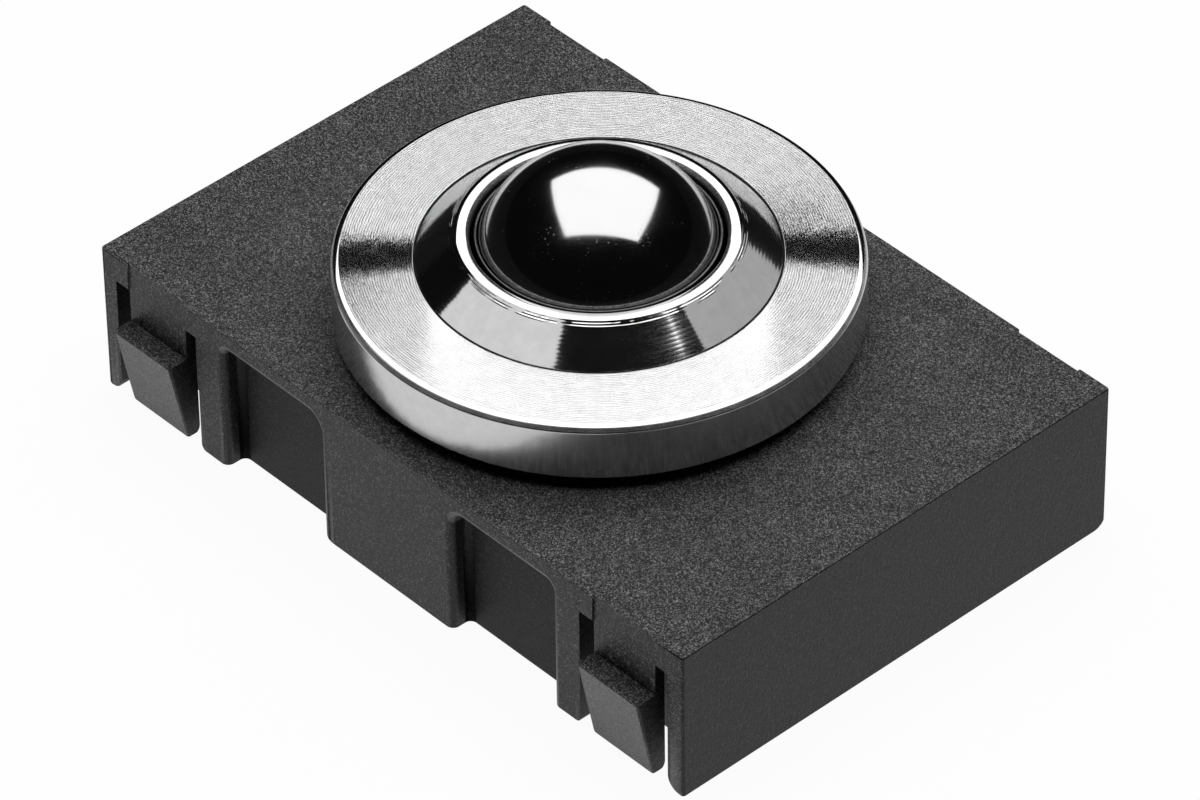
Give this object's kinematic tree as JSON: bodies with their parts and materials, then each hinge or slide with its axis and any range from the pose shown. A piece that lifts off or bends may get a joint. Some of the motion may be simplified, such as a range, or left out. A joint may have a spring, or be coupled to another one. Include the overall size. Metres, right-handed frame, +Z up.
{
  "type": "ball castor",
  "caption": "Ball castor: steel ball transfer unit with a round flange, in a rectangular black moulded carrier with snap hooks.",
  "frame": {"origin": "centre of the footprint, on the plane that the skirt stands on", "axes": "+Z up through the ball, +X along the long sides of the carrier"},
  "size_m": [0.0496, 0.036, 0.0213],
  "materials": {
    "carrier_plastic": "fine grain",
    "turned_steel": "bright turned",
    "race_steel": "hardened, ground",
    "ball_steel": "mirror polish",
    "ring_steel": "satin",
    "seal_felt": "oiled felt"
  },
  "bodies": {
    "base": {"carrier": "carrier_plastic", "housing": "turned_steel", "ball_cup": "race_steel", "retaining_ring": "ring_steel", "seal_ring": "seal_felt"},
    "bearing": {"support_balls": "ball_steel"},
    "ball": {"load_ball": "ball_steel"}
  },
  "joints": [
    {"name": "bearing_turn", "type": "hinge", "parent": "base", "child": "bearing", "pos_m": [0, 0, 0.01383], "axis": [0, 0, 1], "continuous": true},
    {"name": "ball_roll", "type": "hinge", "parent": "bearing", "child": "ball", "pos_m": [0, 0, 0.01383], "axis": [1, 0, 0], "continuous": true}
  ]
}
